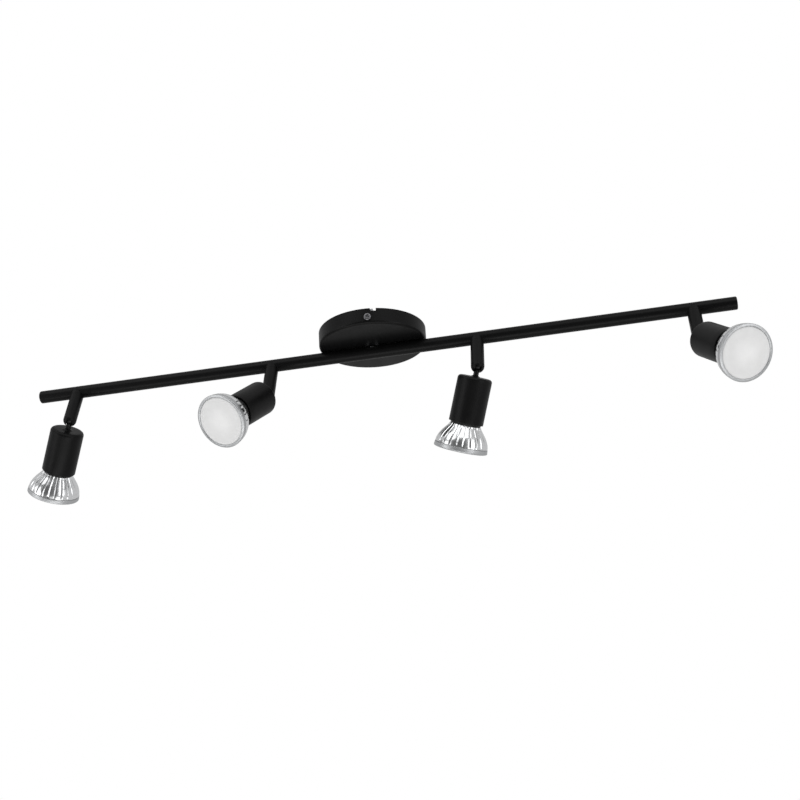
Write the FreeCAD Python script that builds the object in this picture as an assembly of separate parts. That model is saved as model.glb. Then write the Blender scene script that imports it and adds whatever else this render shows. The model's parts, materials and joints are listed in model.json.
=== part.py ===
"""Four-lamp ceiling spotlight bar: a round canopy carries a straight bar, and four heads hang from the bar.

Frame: millimetres, +Z up, origin at the centre of the ceiling plane, bar along X, viewer's side towards -Y.
Everything hangs below z = 0. Each head swivels about its arm and tilts on a slotted ball joint.
"""
import FreeCAD, Part
import math
import os

V = FreeCAD.Vector
UP = V(0, 0, 1)
ALONG_X = V(1, 0, 0)
ALONG_Y = V(0, 1, 0)

# Canopy and ceiling bracket
CANOPY_R = 51.0
CANOPY_H = 15.1
CANOPY_WALL = 1.0
CANOPY_FILLET = 2.5
NOTCH_W = 5.4
NOTCH_DEPTH = 2.6
NOTCH_AZIMUTH = 13.0
BRACKET_W = 22.0
BRACKET_T = 1.5
SLOT_SPACING = 60.0
SLOT_LENGTH = 14.0
SLOT_R = 2.3
TAB_GAP = 1.5
TAB_DROP = 12.5
SIDE_SCREW_Z = -9.0
SIDE_SCREW_AZIMUTH = 7.0
SIDE_SCREW_R = 2.0
SIDE_SCREW_LENGTH = 7.0
SIDE_SCREW_PLAY = 0.15
SCREW_HEAD_R = 3.5
SCREW_HEAD_H = 2.2
CROSS_HALF_WIDTH = 0.35
SCREW_FIT = 0.05
EARTH_Y = 14.0
EARTH_WASHER_R = 4.5
EARTH_WASHER_T = 0.8
TERMINAL_X = 21.0
TERMINAL_SIZE = (14.0, 27.0, 11.0)
TERMINAL_FLOOR = -CANOPY_H + CANOPY_WALL
POLE_PITCH = 8.5
WIRE_HOLE_R = 1.6
WIRE_HOLE_RISE = 4.5
WELL_R = 1.75
WELL_FLOOR = 6.2
WELL_OFFSET = 3.4
CLAMP_SCREW_R = 1.6
CLAMP_SCREW_H = 3.2
WIRE_R = 0.9
WIRE_BEND = 2.2

# Bar
BAR_R = 6.1
BAR_WALL = 1.0
BAR_HALF = 337.5
BAR_GAP = 0.2
CAP_FLANGE = 2.0
CAP_ROUNDING = 1.2
CAP_PLUG = 8.0
BAR_Z = -(CANOPY_H + BAR_GAP + BAR_R)
BAR_BORE = BAR_R - BAR_WALL
COLLAR_R = 8.5
COLLAR_H = 2.4
NIPPLE_R = 5.0
NIPPLE_BORE = 3.8
NIPPLE_TOP = -CANOPY_H + 4.6
NIPPLE_LOW = BAR_Z + 3.2
NIPPLE_NUT_FLATS = 14.0
NIPPLE_NUT_H = 3.0
BAR_WIRE_Y = 2.6

# Swivel arms
ARM_X = (-298.5, -99.5, 99.5, 298.5)
ARM_R = 6.25
ARM_LEAN = 24.0
PIVOT_DROP = 38.8
SADDLE_RIM = 0.9
RUNNING_GAP = 0.3
SWIVEL_R = 3.5
SWIVEL_BORE = 2.5
SHOULDER_T = 3.0
STEM_END = 3.2
STEM_HEAD_R = 4.4
STEM_HEAD_LOW = -5.2
STEM_HEAD_T = 3.0
SWIVEL_NUT_R = 4.3
SWIVEL_NUT_H = 2.0
ARM_TOP = -(BAR_R + SADDLE_RIM + RUNNING_GAP / 2)
SHOULDER_LOW = ARM_TOP - SHOULDER_T
STEM_LOW = SHOULDER_LOW - STEM_END
PIVOT = V(0, 0, -PIVOT_DROP)
BALL_R = 4.5
ARM_CAVITY_R = BALL_R + 0.05
SLOT_W = 5.6
NECK_R = 2.5
NECK_BORE = 1.7
NECK_LENGTH = 18.0
FLARE_R = 5.0
FLARE_H = 1.5
TILT_PIN_R = 1.5
TILT_PIN_IN = 2.2
TILT_PIN_FIT = 0.03
BACK_SWING = 18.0
FRONT_SWING = 90.0

# Lamp heads, measured along the head's axis from the pivot
CAP_TOP = 10.0
HOLDER_R = 16.0
HOLDER_WALL = 1.2
HOLDER_END = 53.0
HOLDER_FILLET = 3.0
LAMP_FACE = 78.6
LAMP_R = 25.0
LAMP_BASE_END = LAMP_FACE - 37.0
LAMP_BASE_TOP = LAMP_BASE_END - 12.0
LAMP_BASE_R = 11.6
LAMP_NECK_R = 12.6
GLASS_T = 1.2
RIM_BAND = 3.8
COVER_R = LAMP_R - 3.0
COVER_T = 2.0
COVER_GAP = 0.05
PIN_SPACING = 10.0
PIN_R = 1.5
PIN_LENGTH = 5.5
PIN_HEAD_R = 2.5
PIN_HEAD_H = 2.0
PIN_CLEARANCE = 0.3
NECK_NUT_FLATS = 8.0
NECK_NUT_H = 2.5
SOCKET_R = 13.0
SOCKET_TOP = -CAP_TOP - HOLDER_WALL
SOCKET_END = LAMP_BASE_TOP - 0.5
SOCKET_ROUNDING = 1.8
SOCKET_FACE_T = 3.0
POCKET_TOP = 6.8
RECESS_R = 5.6
RECESS_H = 8.0
LEAD_R = 0.7
LEAD_LENGTH = 18.0
TWIST = 20.0

# Reflector outside: radius against distance behind the lamp's face, from the base to the rim
BOWL = (
    (LAMP_NECK_R, 37.0),
    (13.2, 31.0),
    (14.0, 25.4),
    (15.4, 21.8),
    (18.0, 18.4),
    (20.7, 14.8),
    (22.7, 11.2),
    (23.9, 8.0),
    (24.5, 4.4),
)

# Rest pose of the four heads: direction the joint's slot opens to, and tilt away from the arm's axis
HEADS = (
    (-151.5, 60.3),
    (-39.9, 33.8),
    (-154.8, 50.8),
    (44.0, 35.5),
)


def cylinder(radius, height, base, axis=UP):
    return Part.makeCylinder(radius, height, base, axis)


def ring(outer, inner, height, base, axis=UP):
    return cylinder(outer, height, base, axis).cut(cylinder(inner, height, base, axis))


def box(low, high):
    size = V(*high) - V(*low)
    return Part.makeBox(size.x, size.y, size.z, V(*low))


def hexagon(across_flats, height, base):
    corner = across_flats / math.sqrt(3.0)
    turns = [math.pi / 3 * k for k in range(7)]
    points = [base + V(corner * math.cos(turn), corner * math.sin(turn), 0) for turn in turns]
    return Part.Face(Part.makePolygon(points)).extrude(V(0, 0, height))


def turned(profile):
    """Solid of revolution about Z from a closed outline of (radius, z) points."""
    points = [V(r, 0, z) for r, z in profile]
    face = Part.Face(Part.makePolygon(points + points[:1]))
    return face.revolve(V(0, 0, 0), UP, 360)


def group(solids):
    return Part.makeCompound(solids)


def save(name, shape):
    shape.exportStep("parts/" + name + ".step")
    print(name, len(shape.Solids), "solids", round(shape.Volume, 1), "mm3", shape.isValid())


# ---------------------------------------------------------------- canopy and ceiling bracket

def screw_direction(side):
    """Outward direction of a side screw, turned a little from the bracket's centre line."""
    turn = math.radians(SIDE_SCREW_AZIMUTH)
    return V(-math.sin(turn), math.cos(turn), 0) * side


def side_screw_hole(radius, side, middle_r):
    """Drill for a side screw's hole, centred at a distance from the canopy's axis."""
    out = screw_direction(side)
    start = out * (middle_r - SIDE_SCREW_LENGTH / 2) + V(0, 0, SIDE_SCREW_Z)
    return cylinder(radius, SIDE_SCREW_LENGTH, start, out)


def canopy_cup():
    """Pressed cup, open towards the ceiling, with a rim notch, side screw holes and the nipple's hole."""
    outer = cylinder(CANOPY_R, CANOPY_H, V(0, 0, -CANOPY_H))
    outer = outer.makeFillet(CANOPY_FILLET, [e for e in outer.Edges if e.BoundBox.ZMax < -CANOPY_H + 0.1])
    inner_r = CANOPY_R - CANOPY_WALL
    floor_z = -CANOPY_H + CANOPY_WALL
    inner = cylinder(inner_r, CANOPY_H, V(0, 0, floor_z))
    inner_fillet = CANOPY_FILLET - CANOPY_WALL
    inner = inner.makeFillet(inner_fillet, [e for e in inner.Edges if e.BoundBox.ZMax < floor_z + 0.1])
    cup = outer.cut(inner)
    cup = cup.cut(cylinder(NIPPLE_R + SCREW_FIT, 2 * CANOPY_WALL, V(0, 0, -CANOPY_H - 0.5)))
    for side in (-1, 1):
        cup = cup.cut(side_screw_hole(SIDE_SCREW_R + SIDE_SCREW_PLAY, side, inner_r))
    notch = box((-NOTCH_W / 2, -CANOPY_R - 1, -NOTCH_DEPTH), (NOTCH_W / 2, -CANOPY_R + 4, 1))
    notch.rotate(V(0, 0, 0), UP, NOTCH_AZIMUTH)
    return cup.cut(notch)


def ceiling_bracket():
    """Steel strip along Y with two fixing slots and two turned-down tabs for the side screws."""
    reach = CANOPY_R - CANOPY_WALL - TAB_GAP
    half = BRACKET_W / 2
    strip = box((-half, -reach, -BRACKET_T), (half, reach, 0))
    for side in (-1, 1):
        inner_y = side * (reach - BRACKET_T)
        low_y, high_y = sorted((inner_y, side * reach))
        strip = strip.fuse(box((-half, low_y, -TAB_DROP), (half, high_y, -BRACKET_T / 2)))
        strip = strip.cut(side_screw_hole(SIDE_SCREW_R, side, reach))
        middle = side * SLOT_SPACING / 2
        run = SLOT_LENGTH / 2 - SLOT_R
        strip = strip.cut(box((-SLOT_R, middle - run, -BRACKET_T - 1), (SLOT_R, middle + run, 1)))
        for end in (-run, run):
            strip = strip.cut(cylinder(SLOT_R, BRACKET_T + 2, V(0, middle + end, -BRACKET_T - 1)))
    strip = strip.cut(cylinder(SIDE_SCREW_R, BRACKET_T + 2, V(0, EARTH_Y, -BRACKET_T - 1)))
    return strip.removeSplitter()


def pan_screw(under_head, axis, shank_length):
    """Cross-head pan screw; the axis points from the shank out through the head."""
    shank = cylinder(SIDE_SCREW_R - SCREW_FIT, shank_length, under_head, axis * -1)
    head = cylinder(SCREW_HEAD_R, SCREW_HEAD_H, under_head, axis)
    crown = [e for e in head.Edges if (e.CenterOfMass - under_head).dot(axis) > SCREW_HEAD_H - 0.01]
    head = head.makeFillet(SCREW_HEAD_H * 0.55, crown)
    placed = FreeCAD.Placement(under_head, FreeCAD.Rotation(UP, axis))
    reach = SCREW_HEAD_R * 0.6
    for half_x, half_y in ((reach, CROSS_HALF_WIDTH), (CROSS_HALF_WIDTH, reach)):
        recess = box((-half_x, -half_y, SCREW_HEAD_H * 0.45), (half_x, half_y, SCREW_HEAD_H + 1))
        recess.Placement = placed
        head = head.cut(recess)
    return head.fuse(shank).removeSplitter()


def canopy_screws():
    solids = []
    for side in (-1, 1):
        out = screw_direction(side)
        solids.append(pan_screw(out * CANOPY_R + V(0, 0, SIDE_SCREW_Z), out, SIDE_SCREW_LENGTH))
    return group(solids)


def earth_screw():
    """Earth screw with its ring washer, hanging under the bracket."""
    start = V(0, EARTH_Y, -BRACKET_T - EARTH_WASHER_T)
    screw = pan_screw(start, V(0, 0, -1), EARTH_WASHER_T + BRACKET_T)
    washer = ring(EARTH_WASHER_R, SIDE_SCREW_R, EARTH_WASHER_T, start)
    return group([screw, washer])


def terminal_wells():
    """Bottom centres of the six screw wells."""
    centre_x = TERMINAL_X + TERMINAL_SIZE[0] / 2
    low = TERMINAL_FLOOR + WELL_FLOOR
    ends = (centre_x - WELL_OFFSET, centre_x + WELL_OFFSET)
    return [V(x, pole * POLE_PITCH, low) for pole in (-1, 0, 1) for x in ends]


def terminal_block():
    """Three-pole screw terminal standing on the canopy's floor; each pole has a wire hole and two screw wells."""
    width, length, height = TERMINAL_SIZE
    low = (TERMINAL_X, -length / 2, TERMINAL_FLOOR)
    body = box(low, (TERMINAL_X + width, length / 2, TERMINAL_FLOOR + height))
    for pole in (-1, 0, 1):
        start = V(TERMINAL_X - 1, pole * POLE_PITCH, TERMINAL_FLOOR + WIRE_HOLE_RISE)
        body = body.cut(cylinder(WIRE_HOLE_R, width + 2, start, ALONG_X))
    for well in terminal_wells():
        body = body.cut(cylinder(WELL_R, height, well))
    return body


def terminal_screws():
    """Slotted clamp screws, one in each well."""
    solids = []
    for well in terminal_wells():
        screw = cylinder(CLAMP_SCREW_R, CLAMP_SCREW_H, well)
        slot = box((-2, -0.3, CLAMP_SCREW_H - 0.8), (2, 0.3, CLAMP_SCREW_H + 0.8))
        slot.translate(well)
        solids.append(screw.cut(slot))
    return group(solids)


def wire_path(points, bend):
    """Wire of straight runs joined by tangent arcs."""
    edges = []
    start = points[0]
    for k in range(1, len(points) - 1):
        before = (points[k - 1] - points[k]).normalize()
        after = (points[k + 1] - points[k]).normalize()
        half_turn = (math.pi - before.getAngle(after)) / 2
        cut_back = bend * math.tan(half_turn)
        arc_start = points[k] + before * cut_back
        arc_end = points[k] + after * cut_back
        inward = (before + after).normalize()
        middle = points[k] + inward * (bend / math.cos(half_turn) - bend)
        edges.append(Part.LineSegment(start, arc_start).toShape())
        edges.append(Part.Arc(arc_start, middle, arc_end).toShape())
        start = arc_end
    edges.append(Part.LineSegment(start, points[-1]).toShape())
    return Part.Wire(edges)


def wire_solid(points):
    path = wire_path(points, WIRE_BEND)
    section = Part.Wire([Part.makeCircle(WIRE_R, points[0], points[1] - points[0])])
    return path.makePipeShell([section], True, False)


def supply_wires():
    """Two insulated wires from the terminal over the nipple's lip and down into the bar."""
    exit_z = TERMINAL_FLOOR + WIRE_HOLE_RISE
    over_lip_z = -5.0
    solids = []
    for side in (-1, 1):
        pole_y = side * POLE_PITCH
        inner_y = side * 1.5
        solids.append(wire_solid([
            V(TERMINAL_X + 2.0, pole_y, exit_z),
            V(TERMINAL_X - 5.0, pole_y, exit_z),
            V(9.5, pole_y * 0.7, over_lip_z - 1.5),
            V(0, inner_y, over_lip_z),
            V(0, inner_y, BAR_Z + 2.4),
        ]))
    return group(solids)


# ---------------------------------------------------------------- bar

def bar_tube():
    """Round tube with a hole on top for the nipple and one below for each swivel."""
    length = 2 * (BAR_HALF - CAP_FLANGE)
    start = V(-length / 2, 0, BAR_Z)
    tube = ring(BAR_R, BAR_BORE, length, start, ALONG_X)
    tube = tube.cut(cylinder(NIPPLE_R + SCREW_FIT, BAR_R + 2, V(0, 0, BAR_Z)))
    for x in ARM_X:
        tube = tube.cut(hang(cylinder(SWIVEL_R + SCREW_FIT, BAR_R + 2, V(0, 0, 0), V(0, 0, -1)), x))
    return tube


def end_cap(side):
    """Turned plug with a softly rounded flange."""
    face_x = side * (BAR_HALF - CAP_FLANGE)
    out = V(side, 0, 0)
    flange = cylinder(BAR_R, CAP_FLANGE, V(face_x, 0, BAR_Z), out)
    rim = [e for e in flange.Edges if abs(e.CenterOfMass.x - side * BAR_HALF) < 0.01]
    flange = flange.makeFillet(CAP_ROUNDING, rim)
    plug = cylinder(BAR_BORE - SCREW_FIT, CAP_PLUG, V(face_x, 0, BAR_Z), out * -1)
    return flange.fuse(plug).removeSplitter()


def bar_stretch(radius, axis_z):
    """Short length of bar, for coping other pieces to it."""
    return cylinder(radius, 4 * COLLAR_R, V(-2 * COLLAR_R, 0, axis_z), ALONG_X)


def bar_collar():
    """Plated saddle between the canopy and the bar, coped over the bar's top."""
    collar = ring(COLLAR_R, NIPPLE_R + SCREW_FIT, COLLAR_H, V(0, 0, -CANOPY_H - COLLAR_H))
    return collar.cut(bar_stretch(BAR_R, BAR_Z))


def canopy_nipple():
    """Hollow threaded nipple from inside the canopy into the bar."""
    return ring(NIPPLE_R, NIPPLE_BORE, NIPPLE_TOP - NIPPLE_LOW, V(0, 0, NIPPLE_LOW))


def nipple_nut():
    base = V(0, 0, -CANOPY_H + CANOPY_WALL)
    return hexagon(NIPPLE_NUT_FLATS, NIPPLE_NUT_H, base).cut(cylinder(NIPPLE_R + SCREW_FIT, NIPPLE_NUT_H, base))


def bar_wires():
    """Live and neutral wires lying along the inside of the bar."""
    reach = ARM_X[-1] + 4.0
    axis_z = BAR_Z + 0.6
    sides = (-BAR_WIRE_Y, BAR_WIRE_Y)
    return group([cylinder(WIRE_R, 2 * reach, V(-reach, y, axis_z), ALONG_X) for y in sides])


# ---------------------------------------------------------------- swivels
# Drawn with the bar's axis at the origin and the arm straight down, then leaned forward and hung on the bar.

def hang(shape, x):
    hung = shape.copy()
    hung.rotate(V(0, 0, 0), ALONG_X, -ARM_LEAN)
    hung.translate(V(x, 0, BAR_Z))
    return hung


def saddle_washer():
    """Ring coped to the underside of the bar, with a flat lower face for the arm to turn on."""
    low = -BAR_R - SADDLE_RIM
    washer = ring(ARM_R, SWIVEL_R + SCREW_FIT, -low, V(0, 0, low))
    return washer.cut(bar_stretch(BAR_R, 0))


def swivel_nipple():
    """Hollow swivel stem; its head sits in the bar's curve and its end carries the retaining nut."""
    stem = cylinder(SWIVEL_R, STEM_HEAD_LOW + 2.0 - STEM_LOW, V(0, 0, STEM_LOW))
    head = cylinder(STEM_HEAD_R, STEM_HEAD_T, V(0, 0, STEM_HEAD_LOW))
    head = head.common(bar_stretch(BAR_BORE - SCREW_FIT, 0))
    stem = stem.fuse(head)
    return stem.cut(cylinder(SWIVEL_BORE, PIVOT_DROP, V(0, 0, STEM_LOW - 1))).removeSplitter()


def swivel_nut():
    base = V(0, 0, SHOULDER_LOW - 0.2 - SWIVEL_NUT_H)
    return ring(SWIVEL_NUT_R, SWIVEL_R + 0.02, SWIVEL_NUT_H, base)


def arm(opening):
    """Turned sleeve with a domed end, slotted for the ball's neck and drilled across for the tilt pins."""
    sleeve = cylinder(ARM_R, ARM_TOP + PIVOT_DROP, PIVOT)
    sleeve = sleeve.fuse(Part.makeSphere(ARM_R, PIVOT))
    sleeve = sleeve.cut(cylinder(SWIVEL_R + 0.06, SHOULDER_T + 1, V(0, 0, SHOULDER_LOW)))
    cavity = cylinder(ARM_CAVITY_R, SHOULDER_LOW + PIVOT_DROP, PIVOT)
    cavity = cavity.fuse(Part.makeSphere(ARM_CAVITY_R, PIVOT))
    sleeve = sleeve.cut(cavity)
    across = tilt_axis(opening)
    sleeve = sleeve.cut(cylinder(TILT_PIN_R, 4 * ARM_R, PIVOT - across * (2 * ARM_R), across))
    return sleeve.cut(neck_sweep(opening)).removeSplitter()


def neck_sweep(opening):
    """Space the neck needs from its back swing, through straight down, to its front swing."""
    half = SLOT_W / 2
    reach = ARM_R + 4.0
    centre = V(0, 0, 0)
    steps = 9
    outline = [centre]
    for k in range(steps + 1):
        angle = math.radians(-BACK_SWING + (FRONT_SWING + BACK_SWING) * k / steps)
        outline.append(V(0, -math.sin(angle) * reach, -math.cos(angle) * reach))
    outline.append(centre)
    wedge = Part.Face(Part.makePolygon(outline)).extrude(V(SLOT_W, 0, 0))
    wedge.translate(V(-half, 0, 0))
    for angle in (-BACK_SWING, FRONT_SWING):
        flank = Part.makeBox(SLOT_W, SLOT_W, reach, V(-half, -half, -reach))
        flank.rotate(centre, ALONG_X, -angle)
        wedge = wedge.fuse(flank)
    wedge = wedge.cut(Part.makeSphere(ARM_CAVITY_R, centre))
    wedge.rotate(centre, UP, opening)
    wedge.translate(PIVOT)
    return wedge


def tilt_axis(opening):
    turn = math.radians(opening)
    return V(math.cos(turn), math.sin(turn), 0)


def tilt_pins(opening):
    """Two short pins pressed through the lobes into the ball, in line across the slot and flush outside."""
    solids = []
    for side in (-1, 1):
        out = tilt_axis(opening) * side
        pin = cylinder(TILT_PIN_R, ARM_R - TILT_PIN_IN, PIVOT + out * TILT_PIN_IN, out)
        solids.append(pin.common(Part.makeSphere(ARM_R, PIVOT)))
    return group(solids)


# ---------------------------------------------------------------- lamp head, drawn pointing straight down

def ball_neck():
    """Cross-drilled ball with a hollow neck that flares just above the holder and ends in a thread inside it."""
    ball = Part.makeSphere(BALL_R)
    neck = cylinder(NECK_R, NECK_LENGTH, V(0, 0, -NECK_LENGTH))
    flare = Part.makeCone(FLARE_R, NECK_R, FLARE_H, V(0, 0, -CAP_TOP))
    body = ball.fuse(neck).fuse(flare)
    body = body.cut(cylinder(NECK_BORE, 2 * NECK_LENGTH, V(0, 0, -NECK_LENGTH - 1)))
    body = body.cut(cylinder(TILT_PIN_R + TILT_PIN_FIT, 4 * BALL_R, V(-2 * BALL_R, 0, 0), ALONG_X))
    return body.removeSplitter()


def holder():
    """Drawn sleeve with a rounded shoulder, closed at the top and open at the lamp's end."""
    length = HOLDER_END - CAP_TOP
    outer = cylinder(HOLDER_R, length, V(0, 0, -HOLDER_END))
    outer = outer.makeFillet(HOLDER_FILLET, [e for e in outer.Edges if e.BoundBox.ZMin > -CAP_TOP - 0.1])
    inner_length = length - HOLDER_WALL
    inner = cylinder(HOLDER_R - HOLDER_WALL, inner_length, V(0, 0, -HOLDER_END))
    inner_fillet = HOLDER_FILLET - HOLDER_WALL
    inner = inner.makeFillet(inner_fillet, [e for e in inner.Edges if e.BoundBox.ZMin > SOCKET_TOP - 0.1])
    return outer.cut(inner).cut(cylinder(NECK_R + SCREW_FIT, 5.0, V(0, 0, -CAP_TOP - 3.0)))


def neck_nut():
    base = V(0, 0, SOCKET_TOP - NECK_NUT_H)
    return hexagon(NECK_NUT_FLATS, NECK_NUT_H, base).cut(cylinder(NECK_R + SCREW_FIT, NECK_NUT_H, base))


def pin_place(angle, z):
    turn = math.radians(angle)
    return V(math.cos(turn), math.sin(turn), 0) * (PIN_SPACING / 2) + V(0, 0, z)


def pin_track(half_width, low, high, start):
    """Slot along the arc that a pin follows as the lamp twists, with round ends."""
    inner = PIN_SPACING / 2 - half_width
    outer = PIN_SPACING / 2 + half_width
    corners = ((inner, low), (outer, low), (outer, high), (inner, high), (inner, low))
    outline = Part.makePolygon([V(r, 0, z) for r, z in corners])
    slot = Part.Face(outline).revolve(V(0, 0, 0), UP, TWIST)
    slot.rotate(V(0, 0, 0), UP, start)
    for angle in (start, start + TWIST):
        slot = slot.fuse(cylinder(half_width, high - low, pin_place(angle, low)))
    return slot


def socket():
    """Ceramic twist-lock socket: a nut recess above and two keyhole tracks below."""
    face = -SOCKET_END
    body = cylinder(SOCKET_R, SOCKET_END + SOCKET_TOP, V(0, 0, face))
    body = body.makeFillet(SOCKET_ROUNDING, [e for e in body.Edges if e.BoundBox.ZMin > SOCKET_TOP - 0.1])
    body = body.cut(cylinder(RECESS_R, RECESS_H, V(0, 0, SOCKET_TOP - RECESS_H)))
    for start in (0, 180):
        face_slot = pin_track(PIN_R + PIN_CLEARANCE, face - 1, face + SOCKET_FACE_T, start)
        pocket = pin_track(PIN_HEAD_R + PIN_CLEARANCE, face + SOCKET_FACE_T - 1, face + POCKET_TOP, start)
        entry = cylinder(PIN_HEAD_R + PIN_CLEARANCE, SOCKET_FACE_T + 1, pin_place(start + TWIST, face - 1))
        body = body.cut(face_slot).cut(pocket).cut(entry)
    return body


def socket_leads():
    """Two sleeved leads from the ball, through the neck, into the socket's recess."""
    low = SOCKET_TOP - RECESS_H
    return group([cylinder(LEAD_R, LEAD_LENGTH, V(side * 0.8, 0, low)) for side in (-1, 1)])


def lamp_reflector():
    """Pressed-glass bowl of a 50 mm reflector lamp, silvered inside, with a plain rim band."""
    face = -LAMP_FACE
    outside = [(r, face + back) for r, back in BOWL]
    inside = [(r - GLASS_T, z) for r, z in outside]
    rim = [(LAMP_R, face + RIM_BAND), (LAMP_R, face + 0.5), (LAMP_R - 0.5, face)]
    seat_r = COVER_R + COVER_GAP
    lip = [(seat_r, face), (seat_r, face + COVER_T)]
    return turned(outside + rim + lip + inside[::-1])


def lamp_cover():
    """Frosted front disc, slightly domed."""
    face = -LAMP_FACE
    seat = face + COVER_T
    return turned([(0, seat), (COVER_R, seat), (COVER_R, face + 0.3), (COVER_R * 0.7, face), (0, face)])


def lamp_base():
    """White base that closes the bowl and carries the two pins."""
    low = -LAMP_BASE_END
    top = -LAMP_BASE_TOP
    return turned([
        (0, low), (LAMP_NECK_R, low), (LAMP_NECK_R, low + 1.0), (LAMP_BASE_R, low + 3.0),
        (LAMP_BASE_R, top - 1.0), (LAMP_BASE_R - 1.0, top), (0, top),
    ])


def lamp_pins():
    """Two bayonet pins with wide heads."""
    solids = []
    head_low = -LAMP_BASE_TOP + PIN_LENGTH + 0.4 - PIN_HEAD_H
    for start in (0, 180):
        stem = cylinder(PIN_R, PIN_LENGTH, pin_place(start, -LAMP_BASE_TOP))
        head = cylinder(PIN_HEAD_R, PIN_HEAD_H, pin_place(start, head_low))
        solids.append(stem.fuse(head).removeSplitter())
    return group(solids)


def place_head(shape, x, opening, tilt):
    """Swing a head that points down: tilt it, turn it to the slot's direction, and hang it with its arm."""
    placed = shape.copy()
    placed.rotate(V(0, 0, 0), ALONG_X, -tilt)
    placed.rotate(V(0, 0, 0), UP, opening)
    placed.translate(PIVOT)
    return hang(placed, x)


def main():
    os.makedirs("parts", exist_ok=True)
    save("canopy_cup", canopy_cup())
    save("ceiling_bracket", ceiling_bracket())
    save("canopy_screws", canopy_screws())
    save("earth_screw", earth_screw())
    save("terminal_block", terminal_block())
    save("terminal_screws", terminal_screws())
    save("supply_wires", supply_wires())
    save("bar_tube", bar_tube())
    save("end_caps", group([end_cap(-1), end_cap(1)]))
    save("bar_collar", bar_collar())
    save("canopy_nipple", canopy_nipple())
    save("nipple_nut", nipple_nut())
    save("bar_wires", bar_wires())
    save("saddle_washers", group([hang(saddle_washer(), x) for x in ARM_X]))
    save("swivel_nipples", group([hang(swivel_nipple(), x) for x in ARM_X]))
    save("swivel_nuts", group([hang(swivel_nut(), x) for x in ARM_X]))
    head_parts = {
        "ball_neck": ball_neck(),
        "holder": holder(),
        "neck_nut": neck_nut(),
        "socket": socket(),
        "socket_leads": socket_leads(),
        "lamp_reflector": lamp_reflector(),
        "lamp_cover": lamp_cover(),
        "lamp_base": lamp_base(),
        "lamp_pins": lamp_pins(),
    }
    for number, (x, (opening, tilt)) in enumerate(zip(ARM_X, HEADS), 1):
        save("arm_%d" % number, hang(arm(opening), x))
        save("tilt_pins_%d" % number, hang(tilt_pins(opening), x))
        for name, shape in head_parts.items():
            save("%s_%d" % (name, number), place_head(shape, x, opening, tilt))


main()
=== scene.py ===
import json
import math

import bmesh
import bpy
from mathutils import Matrix, Vector


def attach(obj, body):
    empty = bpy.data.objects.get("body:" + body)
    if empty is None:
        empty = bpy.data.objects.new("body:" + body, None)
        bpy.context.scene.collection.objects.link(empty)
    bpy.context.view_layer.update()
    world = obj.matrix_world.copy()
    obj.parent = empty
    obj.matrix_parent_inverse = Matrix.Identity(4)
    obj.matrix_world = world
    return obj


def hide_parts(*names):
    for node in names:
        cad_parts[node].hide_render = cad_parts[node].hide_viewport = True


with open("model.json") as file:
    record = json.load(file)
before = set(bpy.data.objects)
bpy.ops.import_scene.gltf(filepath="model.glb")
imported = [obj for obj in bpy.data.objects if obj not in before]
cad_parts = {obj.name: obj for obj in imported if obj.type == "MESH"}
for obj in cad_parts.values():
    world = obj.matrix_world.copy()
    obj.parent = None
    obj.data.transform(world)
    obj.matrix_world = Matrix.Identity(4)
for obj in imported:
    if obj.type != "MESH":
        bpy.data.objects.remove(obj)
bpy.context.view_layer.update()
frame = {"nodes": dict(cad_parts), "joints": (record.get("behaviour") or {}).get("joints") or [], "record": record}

# Ceiling spotlight bar: a round tube under a round canopy, with four swivelling, tilting heads.
# Each head is a cylindrical holder with a 50 mm fluted reflector lamp in its mouth.


MM = 0.001
HEADS = (1, 2, 3, 4)
JOINTS = {joint["name"]: joint for joint in frame["joints"]}
SLOT_OF = {part["node"]: part["material_slot"] for part in frame["record"]["subparts"]}

# Lengths are in millimetres. A head's Z axis points from its lamp back to its pivot, at Z = 0.

# Holder: distances down from the pivot, and the rings that divide its long faces
HOLDER_TOP = 10.0
HOLDER_END = 53.0
HOLDER_R = 16.0
HOLDER_WALL = 1.2
SHOULDER_R = 3.0
INNER_SHOULDER_R = 1.8
NECK_HOLE_R = 2.55
TOP_RING_RADII = (6.0, 10.0)
OUTER_RINGS = (15.0, 30.0, 45.0)
INNER_RINGS = (40.0, 25.0)

# Lamp: distance of its front face from the pivot, then outlines of (radius, height back from it)
LAMP_FACE = 78.6
BOWL_LOW = 5.0
BOWL = (
    (13.5, 24.3),
    (14.2, 23.9),
    (15.4, 21.8),
    (18.0, 18.4),
    (20.7, 14.8),
    (22.7, 11.2),
    (23.9, 8.0),
    (24.4, BOWL_LOW),
)
BOWL_TUCK = (23.7, 4.8)
# Lamp neck up into the holder; its black colour is a painted reflection of the black holder in the mirror bowl
PAINTED_REFLECTION_NECK_RING = (
    (12.6, 37.0),
    (13.2, 31.0),
    (13.9, 27.0),
    (14.0, 26.0),
    (14.0, 24.7),
    (13.8, 24.3),
    (13.4, 24.2),
)
BAND_SIDE = (
    (23.7, 4.6),
    (24.5, 4.55),
    (24.66, 4.35),
    (24.74, 3.2),
    (24.85, 2.2),
)
LIP_R = 0.9
LIP_OUTER_CENTRE = (24.1, 1.3)
LIP_INNER_CENTRE = (23.2, 0.9)
COVER_SEAT = (22.3, 1.6)
COVER = (
    (22.3, 1.7),
    (22.25, 1.1),
    (22.0, 0.72),
    (21.4, 0.5),
    (18.0, 0.28),
    (13.0, 0.12),
    (7.0, 0.03),
    (3.0, 0.01),
    (0.0, 0.0),
)

# Flutes of the bowl: grooves that fade in above the band and fade out below the neck
FLUTES = 24
FLUTE_DEPTH = 0.5
GROOVE_SHARE = 0.10
FADE_IN = 1.4
FLUTE_TOP = 27.0
FADE_OUT = 5.0

# Facets round a turned piece and for each flute, steps between two points of the bowl, and the
# angle from which an edge shows sharp
ROUND_FACETS = 128
FACETS_PER_FLUTE = 16
BOWL_STEPS = 6
SHARP_FROM_DEGREES = 38


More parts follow.
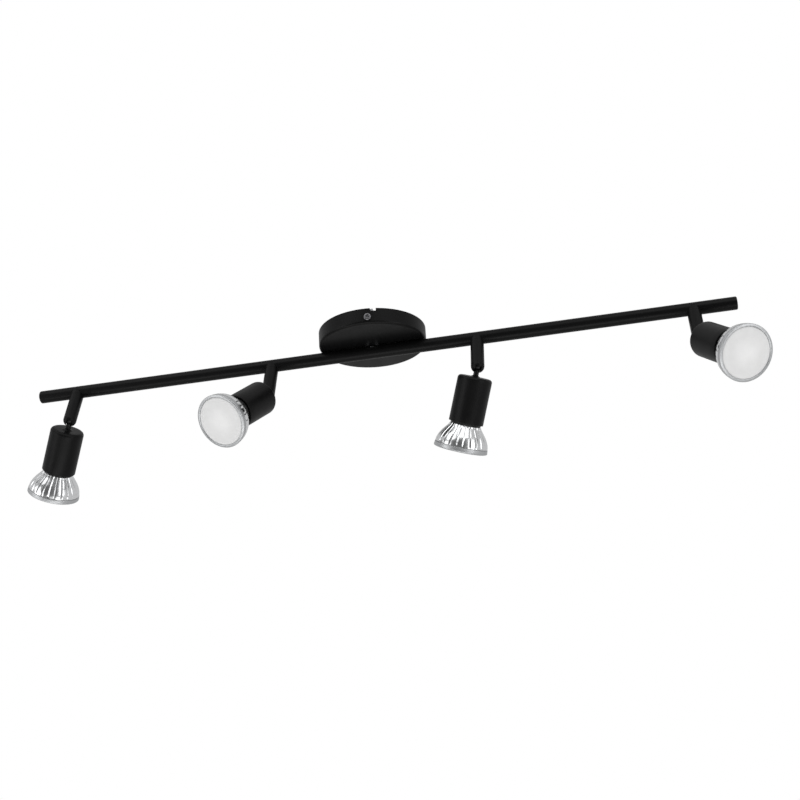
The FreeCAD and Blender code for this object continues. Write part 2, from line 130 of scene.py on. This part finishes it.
# ---------------------------------------------------------------- mesh helpers

def blend_point(a, b, c, d, t):
    """Coordinate at share t of the way from b to c, on a smooth run through a, b, c and d."""
    square = (2 * a - 5 * b + 4 * c - d) * t ** 2
    cube = (3 * b - a - 3 * c + d) * t ** 3
    return 0.5 * (2 * b + (c - a) * t + square + cube)


def through(points, steps):
    """Smooth run of points through the given ones, with so many steps between two of them."""
    padded = [points[0], *points, points[-1]]
    run = []
    for k in range(len(points) - 1):
        around = padded[k:k + 4]
        for step in range(steps):
            run.append(tuple(blend_point(*values, step / steps) for values in zip(*around)))
    run.append(points[-1])
    return run


def corner_arc(centre, radius, start, end, steps=7):
    """Arc in the outline plane; angles in degrees, 0 outward and 90 upward."""
    centre_r, centre_z = centre
    turns = [math.radians(start + (end - start) * k / steps) for k in range(steps + 1)]
    return [(centre_r + radius * math.cos(a), centre_z + radius * math.sin(a)) for a in turns]


def from_face(points):
    """Lamp outline with its heights counted from the pivot instead of from the front face."""
    return [(radius, back - LAMP_FACE) for radius, back in points]


def plain(radius, z, turn):
    """Radius of a piece that is round all the way."""
    return radius


def turned(name, outline, segments, shaped=plain):
    """Surface turned about Z from (radius, z) points; shaped() gives the radius round the turn."""
    bm = bmesh.new()
    rings = []
    for radius, z in outline:
        if radius == 0:
            rings.append([bm.verts.new((0, 0, z * MM))])
            continue
        ring = []
        for k in range(segments):
            turn = 2 * math.pi * k / segments
            r = shaped(radius, z, turn) * MM
            ring.append(bm.verts.new((r * math.cos(turn), r * math.sin(turn), z * MM)))
        rings.append(ring)
    # Beside a ring that is a single point, two of the four corners are the same
    for lower, upper in zip(rings, rings[1:]):
        for k in range(segments):
            a, b = lower[k % len(lower)], lower[(k + 1) % len(lower)]
            c, d = upper[(k + 1) % len(upper)], upper[k % len(upper)]
            bm.faces.new(list(dict.fromkeys((a, b, c, d))))
    bmesh.ops.recalc_face_normals(bm, faces=bm.faces)
    mesh = bpy.data.meshes.new(name)
    bm.to_mesh(mesh)
    bm.free()
    # Distance from the axis in metres, which the cover's painted glow follows
    from_axis = mesh.attributes.new("from_axis", "FLOAT", "POINT")
    for vertex, entry in zip(mesh.vertices, from_axis.data):
        entry.value = vertex.co.xy.length
    for polygon in mesh.polygons:
        polygon.use_smooth = True
    mesh.set_sharp_from_angle(angle=math.radians(SHARP_FROM_DEGREES))
    piece = bpy.data.objects.new(name, mesh)
    bpy.context.scene.collection.objects.link(piece)
    return piece


def place(piece, matrix, body, material, stands_for=None):
    """Put a turned piece at its head, on its body, with its material."""
    piece.data.transform(matrix)
    piece.data.materials.append(material)
    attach(piece, body)
    if stands_for:
        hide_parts(stands_for)


# ---------------------------------------------------------------- materials

# Values that noise mostly stays between, and where a two-tone ramp starts and ends
NOISE_LOW, NOISE_HIGH = 0.3, 0.7
RAMP_DARK_AT, RAMP_LIGHT_AT = 0.35, 0.66
# How much broader the drift in a finish's roughness is than its grain
DRIFT_TO_GRAIN = 30


def grey(value):
    return (value, value, value)


def new_material(name):
    material = bpy.data.materials.new(name)
    material.use_nodes = True
    nodes = material.node_tree.nodes
    return material, nodes, material.node_tree.links, nodes["Principled BSDF"]


def noise(nodes, links, size_mm, detail=2):
    """Noise in the piece's own coordinates, with features about size_mm across."""
    where = nodes.new("ShaderNodeTexCoord")
    texture = nodes.new("ShaderNodeTexNoise")
    texture.inputs["Scale"].default_value = 1 / (size_mm * MM)
    texture.inputs["Detail"].default_value = detail
    links.new(where.outputs["Object"], texture.inputs["Vector"])
    return texture.outputs["Fac"]


def spread(nodes, links, source, low, high):
    """Noise spread over low to high."""
    between = nodes.new("ShaderNodeMapRange")
    between.inputs["From Min"].default_value = NOISE_LOW
    between.inputs["From Max"].default_value = NOISE_HIGH
    between.inputs["To Min"].default_value = low
    between.inputs["To Max"].default_value = high
    links.new(source, between.inputs["Value"])
    return between.outputs["Result"]


def two_tone(nodes, links, source, dark, light):
    """Colour that follows noise from dark to light."""
    ramp = nodes.new("ShaderNodeValToRGB")
    first, last = ramp.color_ramp.elements
    first.position, first.color = RAMP_DARK_AT, (*dark, 1)
    last.position, last.color = RAMP_LIGHT_AT, (*light, 1)
    links.new(source, ramp.inputs["Fac"])
    return ramp.outputs["Color"]


def relief(nodes, links, source, shader, height_mm):
    """Surface relief of the given height that follows noise."""
    bump = nodes.new("ShaderNodeBump")
    bump.inputs["Distance"].default_value = height_mm * MM
    bump.inputs["Strength"].default_value = 1.0
    links.new(source, bump.inputs["Height"])
    links.new(bump.outputs["Normal"], shader.inputs["Normal"])


def grained(name, dark, light, grain_mm, rough, height_mm, metallic=0.0, specular=0.5):
    """Finish with a fine grain in its tone and relief and a broader drift in its roughness."""
    material, nodes, links, shader = new_material(name)
    grain = noise(nodes, links, grain_mm, detail=3)
    drift = noise(nodes, links, grain_mm * DRIFT_TO_GRAIN)
    links.new(two_tone(nodes, links, grain, dark, light), shader.inputs["Base Color"])
    links.new(spread(nodes, links, drift, *rough), shader.inputs["Roughness"])
    relief(nodes, links, grain, shader, height_mm)
    shader.inputs["Metallic"].default_value = metallic
    shader.inputs["Specular IOR Level"].default_value = specular
    return material


def silvered(name, dark, light, rough, coat, wave_mm=3.5, speck_mm=0.8, height_mm=0.012,
             coat_roughness=0.05):
    """Silvered pressed glass: a mirror layer with slight waviness under clear glass."""
    material, nodes, links, shader = new_material(name)
    wave = noise(nodes, links, wave_mm)
    speck = noise(nodes, links, speck_mm)
    links.new(two_tone(nodes, links, speck, dark, light), shader.inputs["Base Color"])
    links.new(spread(nodes, links, wave, *rough), shader.inputs["Roughness"])
    relief(nodes, links, wave, shader, height_mm)
    shader.inputs["Metallic"].default_value = 1.0
    shader.inputs["Coat Weight"].default_value = coat
    shader.inputs["Coat Roughness"].default_value = coat_roughness
    return material


def frosted(name, middle, edge, middle_r, edge_r, rough, cloud_mm, grain_mm, height_mm, specular,
            glow):
    """Frosted plastic cover: soft white, with painted glow that makes it brighter towards its middle and faintly
    emitting white.
    """
    material, nodes, links, shader = new_material(name)
    cloud = noise(nodes, links, cloud_mm)
    grain = noise(nodes, links, grain_mm)
    # Painted glow: the colour runs from a lighter middle to a darker edge by distance from the axis
    distance = nodes.new("ShaderNodeAttribute")
    distance.attribute_name = "from_axis"
    outward = nodes.new("ShaderNodeMapRange")
    outward.interpolation_type = "SMOOTHSTEP"
    outward.inputs["From Min"].default_value = middle_r * MM
    outward.inputs["From Max"].default_value = edge_r * MM
    links.new(distance.outputs["Fac"], outward.inputs["Value"])
    blend = nodes.new("ShaderNodeMix")
    blend.data_type = "RGBA"
    links.new(outward.outputs["Result"], blend.inputs["Factor"])
    links.new(two_tone(nodes, links, cloud, *middle), blend.inputs["A"])
    links.new(two_tone(nodes, links, cloud, *edge), blend.inputs["B"])
    links.new(blend.outputs["Result"], shader.inputs["Base Color"])
    links.new(spread(nodes, links, grain, *rough), shader.inputs["Roughness"])
    relief(nodes, links, grain, shader, height_mm)
    shader.inputs["Specular IOR Level"].default_value = specular
    # Painted glow: a faint white emission over the whole cover
    shader.inputs["Emission Color"].default_value = (1, 1, 1, 1)
    shader.inputs["Emission Strength"].default_value = glow
    return material


FINISHES = {
    "black_paint": {
        "dark": (0.0028, 0.0028, 0.0029), "light": (0.006, 0.006, 0.0062),
        "grain_mm": 0.55, "rough": (0.34, 0.42), "height_mm": 0.012, "specular": 0.13,
    },
    "black_neck": {
        "dark": grey(0.003), "light": grey(0.006),
        "grain_mm": 0.8, "rough": (0.30, 0.40), "height_mm": 0.008, "specular": 0.25,
    },
    "dark_plated": {
        "dark": (0.06, 0.06, 0.063), "light": (0.16, 0.16, 0.165),
        "grain_mm": 0.9, "rough": (0.22, 0.34), "height_mm": 0.01, "metallic": 1.0,
    },
    "zinc_steel": {
        "dark": (0.32, 0.33, 0.34), "light": (0.48, 0.49, 0.50),
        "grain_mm": 1.6, "rough": (0.28, 0.42), "height_mm": 0.01, "metallic": 1.0,
    },
    "zinc_screw": {
        "dark": (0.10, 0.10, 0.105), "light": (0.28, 0.28, 0.29),
        "grain_mm": 0.7, "rough": (0.26, 0.40), "height_mm": 0.01, "metallic": 1.0,
    },
    "brass_parts": {
        "dark": (0.55, 0.38, 0.16), "light": (0.76, 0.57, 0.28),
        "grain_mm": 1.0, "rough": (0.22, 0.36), "height_mm": 0.01, "metallic": 1.0,
    },
    "terminal_plastic": {
        "dark": (0.72, 0.72, 0.68), "light": (0.82, 0.82, 0.78),
        "grain_mm": 1.2, "rough": (0.42, 0.55), "height_mm": 0.02,
    },
    "wire_sleeve": {
        "dark": (0.20, 0.08, 0.04), "light": (0.30, 0.13, 0.07),
        "grain_mm": 1.0, "rough": (0.38, 0.5), "height_mm": 0.02,
    },
    "socket_ceramic": {
        "dark": (0.70, 0.67, 0.60), "light": (0.82, 0.80, 0.74),
        "grain_mm": 0.8, "rough": (0.6, 0.75), "height_mm": 0.03,
    },
    "lamp_base_white": {
        "dark": (0.72, 0.72, 0.69), "light": (0.82, 0.82, 0.79),
        "grain_mm": 1.0, "rough": (0.45, 0.6), "height_mm": 0.02,
    },
}
MATERIALS = {slot: grained(slot, **finish) for slot, finish in FINISHES.items()}
MATERIALS["silvered_glass"] = silvered(
    "silvered_glass", dark=(0.84, 0.85, 0.86), light=(0.92, 0.93, 0.94), rough=(0.16, 0.22),
    coat=0.4)
# Cover colour: its lighter middle and faint emission are painted glow
MATERIALS["frosted_cover"] = frosted(
    "frosted_cover", middle=(grey(0.84), grey(0.87)), edge=(grey(0.73), grey(0.76)), middle_r=1.0,
    edge_r=17.0, rough=(0.42, 0.55), cloud_mm=9.0, grain_mm=0.35, height_mm=0.01, specular=0.35,
    glow=0.11)
# The rim band is the same glass, moulded matt
BAND = silvered(
    "glass_band", dark=(0.52, 0.53, 0.54), light=(0.60, 0.61, 0.62), rough=(0.42, 0.5), coat=0.3)

# The tilt pins sit flush in the arms and are coated over with them
for node, thing in frame["nodes"].items():
    finish = "black_paint" if node.startswith("tilt_pins") else SLOT_OF[node]
    thing.data.materials.clear()
    thing.data.materials.append(MATERIALS[finish])


# ---------------------------------------------------------------- heads

def head_matrix(number):
    """Head frame: origin at the pivot, Z up along the head's axis, X along the tilt axis."""
    tilt = JOINTS["head_tilt_%d" % number]
    up = Vector(JOINTS["lamp_twist_%d" % number]["axis"]).normalized()
    across = Vector(tilt["axis"]).normalized()
    rotation = Matrix((across, up.cross(across), up)).transposed()
    return Matrix.Translation(Vector(tilt["pos_m"])) @ rotation.to_4x4()


def holder_outline():
    """From the neck's hole over the shoulder to the rolled mouth, then back up the inside."""
    inner_r = HOLDER_R - HOLDER_WALL
    inner_top = -HOLDER_TOP - HOLDER_WALL
    lip_r = HOLDER_WALL / 2
    shoulder = (HOLDER_R - SHOULDER_R, -HOLDER_TOP - SHOULDER_R)
    lip = (HOLDER_R - lip_r, -HOLDER_END + lip_r)
    inner_shoulder = (inner_r - INNER_SHOULDER_R, inner_top - INNER_SHOULDER_R)
    outline = [(radius, -HOLDER_TOP) for radius in (NECK_HOLE_R, *TOP_RING_RADII)]
    outline += corner_arc(shoulder, SHOULDER_R, 90, 0)
    outline += [(HOLDER_R, -down) for down in OUTER_RINGS]
    outline += corner_arc(lip, lip_r, 0, -180, steps=10)
    outline += [(inner_r, -down) for down in INNER_RINGS]
    outline += corner_arc(inner_shoulder, INNER_SHOULDER_R, 0, 90)
    return outline + [(NECK_HOLE_R, inner_top)]


def band_outline():
    """Plain rim band: narrow groove at the bowl, slight flare, rounded lip, seat for the cover."""
    outline = list(BAND_SIDE)
    outline += corner_arc(LIP_OUTER_CENTRE, LIP_R, 0, -90, steps=8)
    outline += corner_arc(LIP_INNER_CENTRE, LIP_R, -90, -170, steps=6)
    return from_face(outline + [COVER_SEAT])


def fluted(radius, z, turn):
    """Bowl radius with narrow grooves between rounded ribs."""
    back = LAMP_FACE + z
    fade_in = min(1.0, max(0.0, (back - BOWL_LOW) / FADE_IN))
    fade_out = min(1.0, max(0.0, (FLUTE_TOP - back) / FADE_OUT))
    across = (FLUTES * turn / (2 * math.pi)) % 1.0 - 0.5
    groove = math.exp(-(across / GROOVE_SHARE) ** 2)
    return radius - FLUTE_DEPTH * fade_in * fade_out * groove


HOLDER_OUTLINE = holder_outline()
BOWL_OUTLINE = from_face([*through(BOWL, BOWL_STEPS), BOWL_TUCK])
PAINTED_REFLECTION_NECK_OUTLINE = from_face(PAINTED_REFLECTION_NECK_RING)
BAND_OUTLINE = band_outline()
COVER_OUTLINE = from_face(COVER)

for number in HEADS:
    matrix = head_matrix(number)
    head, lamp = "head_%d" % number, "lamp_%d" % number
    shell = turned("holder_shell_%d" % number, HOLDER_OUTLINE, ROUND_FACETS)
    bowl = turned("lamp_bowl_%d" % number, BOWL_OUTLINE, FLUTES * FACETS_PER_FLUTE, fluted)
    neck = turned("lamp_neck_%d" % number, PAINTED_REFLECTION_NECK_OUTLINE, ROUND_FACETS)
    band = turned("lamp_band_%d" % number, BAND_OUTLINE, ROUND_FACETS)
    lens = turned("lamp_lens_%d" % number, COVER_OUTLINE, ROUND_FACETS)
    place(shell, matrix, head, MATERIALS["black_paint"], "holder_%d" % number)
    place(bowl, matrix, lamp, MATERIALS["silvered_glass"],
          "lamp_reflector_%d" % number)
    # The neck's black is a painted reflection of the black holder in the mirror bowl
    place(neck, matrix, lamp, MATERIALS["black_neck"])
    place(band, matrix, lamp, BAND)
    place(lens, matrix, lamp, MATERIALS["frosted_cover"],
          "lamp_cover_%d" % number)


# ---------------------------------------------------------------- camera, light and floor

# Camera: degrees turned left, tilted up and rolled; place in metres; lens and sensor in mm
CAMERA_YAW, CAMERA_PITCH, CAMERA_ROLL = 10.52, 22.89, -3.29
CAMERA_AT = (0.21486, -1.09699, -0.5361)
CAMERA_LENS, CAMERA_SENSOR = 58.35, 36.0
CAMERA_SHIFT = (0.01605, -0.00852)
CAMERA_NEAR, CAMERA_FAR = 0.01, 20.0

# Softboxes: name, place and aim in metres, width, height, watts
SOFTBOXES = (
    ("left_softbox", (-1.5, -1.1, -0.2), (0, 0, -0.08), 0.9, 1.5, 7),
    ("right_softbox", (1.6, -1.0, -0.2), (0, 0, -0.08), 0.9, 1.5, 7),
    ("top_left_softbox", (-0.6, -1.0, 0.95), (-0.3, 0, -0.08), 1.05, 0.9, 4),
    ("top_right_softbox", (0.6, -1.0, 0.95), (0.3, 0, -0.08), 1.05, 0.9, 4),
    ("low_softbox", (0.0, -0.55, -1.2), (0, 0, -0.08), 2.0, 0.5, 6),
)

# Studio: grey levels in front and behind, and where along Y the first turns into the second
STUDIO_FRONT, STUDIO_BACK = 0.10, 0.55
FRONT_ENDS_AT, BACK_STARTS_AT = -1.0, -0.2

# Floor: a disc well below the lamps, with its rings and height in millimetres
FLOOR_RINGS = (1600.0, 800.0, 0.0)
FLOOR_Z = -1300.0
FLOOR_FACETS = 96


def add_camera():
    yaw, pitch, roll = (math.radians(a) for a in (CAMERA_YAW, CAMERA_PITCH, CAMERA_ROLL))
    ahead = Vector((-math.sin(yaw) * math.cos(pitch), math.cos(yaw) * math.cos(pitch),
                    math.sin(pitch)))
    level = Vector((math.cos(yaw), math.sin(yaw), 0))
    above = level.cross(ahead)
    right = level * math.cos(roll) + above * math.sin(roll)
    upward = above * math.cos(roll) - level * math.sin(roll)
    data = bpy.data.cameras.new("camera")
    data.sensor_width = CAMERA_SENSOR
    data.lens = CAMERA_LENS
    data.shift_x, data.shift_y = CAMERA_SHIFT
    data.clip_start, data.clip_end = CAMERA_NEAR, CAMERA_FAR
    camera = bpy.data.objects.new("camera", data)
    rotation = Matrix((right, upward, -ahead)).transposed()
    camera.matrix_world = Matrix.Translation(CAMERA_AT) @ rotation.to_4x4()
    bpy.context.scene.collection.objects.link(camera)
    bpy.context.scene.camera = camera


def add_softbox(name, place_at, aim_at, width, height, watts):
    data = bpy.data.lights.new(name, "AREA")
    data.shape = "RECTANGLE"
    data.size = width
    data.size_y = height
    data.energy = watts
    light = bpy.data.objects.new(name, data)
    light.location = place_at
    towards = Vector(aim_at) - Vector(place_at)
    light.rotation_euler = towards.to_track_quat("-Z", "Y").to_euler()
    bpy.context.scene.collection.objects.link(light)


def add_world():
    """White backdrop seen directly; for reflections and light, a grey studio darker in front."""
    world = bpy.data.worlds.new("studio")
    world.use_nodes = True
    bpy.context.scene.world = world
    nodes, links = world.node_tree.nodes, world.node_tree.links
    nodes.clear()
    where = nodes.new("ShaderNodeTexCoord")
    split = nodes.new("ShaderNodeSeparateXYZ")
    level = nodes.new("ShaderNodeMapRange")
    level.inputs["From Min"].default_value = FRONT_ENDS_AT
    level.inputs["From Max"].default_value = BACK_STARTS_AT
    level.inputs["To Min"].default_value = STUDIO_FRONT
    level.inputs["To Max"].default_value = STUDIO_BACK
    studio = nodes.new("ShaderNodeBackground")
    backdrop = nodes.new("ShaderNodeBackground")
    backdrop.inputs["Color"].default_value = (1, 1, 1, 1)
    path = nodes.new("ShaderNodeLightPath")
    mix = nodes.new("ShaderNodeMixShader")
    out = nodes.new("ShaderNodeOutputWorld")
    links.new(where.outputs["Generated"], split.inputs["Vector"])
    links.new(split.outputs["Y"], level.inputs["Value"])
    links.new(level.outputs["Result"], studio.inputs["Color"])
    links.new(path.outputs["Is Camera Ray"], mix.inputs["Fac"])
    links.new(studio.outputs["Background"], mix.inputs[1])
    links.new(backdrop.outputs["Background"], mix.inputs[2])
    links.new(mix.outputs["Shader"], out.inputs["Surface"])


def add_floor():
    floor = turned("floor", [(radius, FLOOR_Z) for radius in FLOOR_RINGS], FLOOR_FACETS)
    floor.data.materials.append(grained(
        "floor_paint", dark=(0.78, 0.78, 0.77), light=(0.82, 0.82, 0.81), grain_mm=30.0,
        rough=(0.7, 0.8), height_mm=0.2, specular=0.2))


add_camera()
add_world()
add_floor()
for softbox in SOFTBOXES:
    add_softbox(*softbox)

bpy.context.scene.view_settings.view_transform = "Standard"
